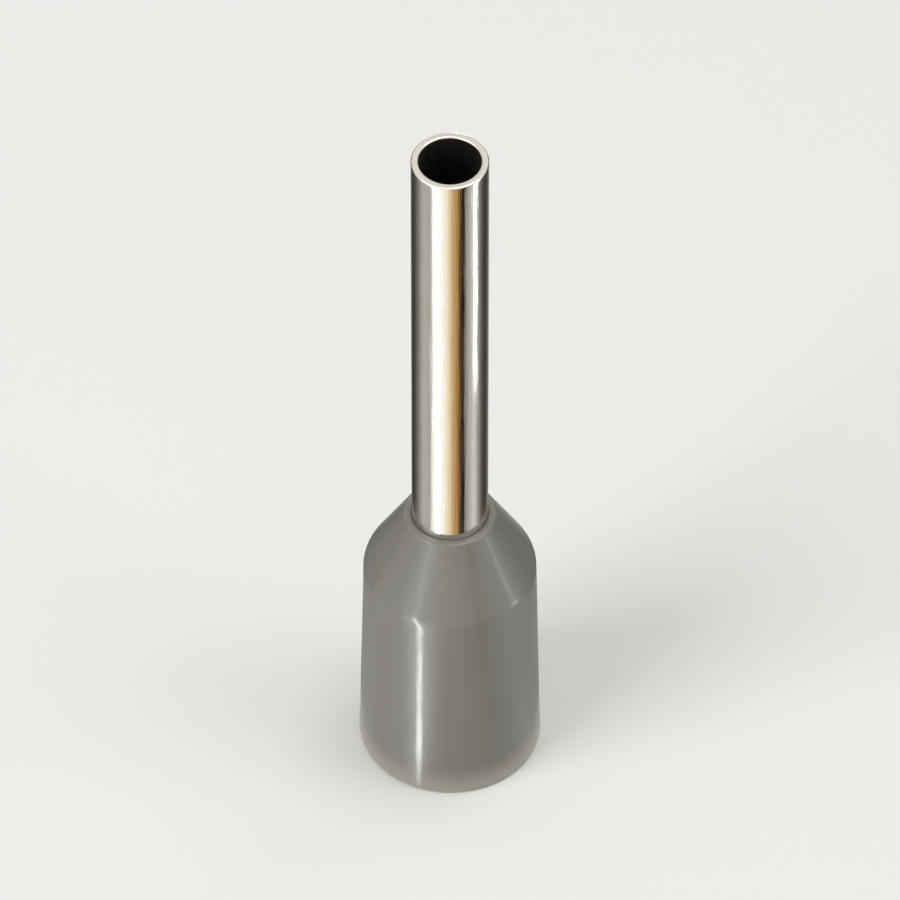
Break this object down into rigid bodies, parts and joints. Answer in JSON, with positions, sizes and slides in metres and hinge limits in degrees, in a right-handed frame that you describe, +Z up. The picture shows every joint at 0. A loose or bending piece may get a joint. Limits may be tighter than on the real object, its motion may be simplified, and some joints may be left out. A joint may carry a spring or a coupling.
{
  "type": "wire ferrule",
  "caption": "Insulated wire ferrule: thin tinned copper tube with a belled inner end, held in a moulded grey plastic collar with a cone shoulder and an open, tapered mouth.",
  "frame": {"origin": "centre of the collar's mouth, on the surface that the ferrule stands on", "axes": "+Z up along the ferrule's own axis, from the mouth of the collar to the pin's cut end; +X and +Y are any two directions square to it, because both pieces are round"},
  "size_m": [0.0036, 0.0036, 0.0164],
  "materials": {
    "collar_polypropylene": "injection-moulded polypropylene, warm grey, semi-gloss, slightly translucent where it is thin",
    "tinned_copper": "bright electro-tinned drawn copper tube with fine lengthwise drawing lines"
  },
  "bodies": {
    "root": {"collar": "collar_polypropylene", "tube": "tinned_copper"}
  },
  "joints": []
}
